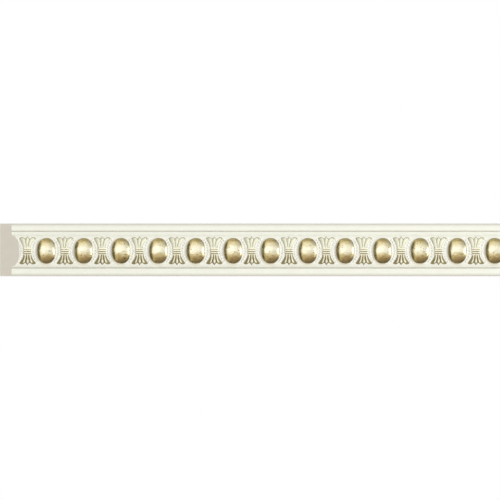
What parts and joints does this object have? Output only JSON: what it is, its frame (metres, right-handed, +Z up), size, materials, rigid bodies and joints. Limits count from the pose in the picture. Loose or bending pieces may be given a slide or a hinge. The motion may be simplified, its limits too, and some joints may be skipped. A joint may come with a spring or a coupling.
{
  "type": "decorative moulding",
  "caption": "Straight interior wall moulding: gilded eggs, tied palmettes and pearl strings on a half-round band between flat borders, one end mitred, the other square.",
  "frame": {"origin": "middle of the flat back, halfway along its length and halfway up its height", "axes": "+X along the moulding towards the square end, +Y into the wall, +Z up, so that the ornament faces -Y"},
  "size_m": [0.38, 0.0189, 0.04],
  "materials": {
    "ivory_paint": "satin",
    "gilding": "burnished gold paint, slightly mottled",
    "bare_core": "sawn foam, matt"
  },
  "bodies": {
    "root": {"moulding": "ivory_paint"}
  },
  "joints": []
}
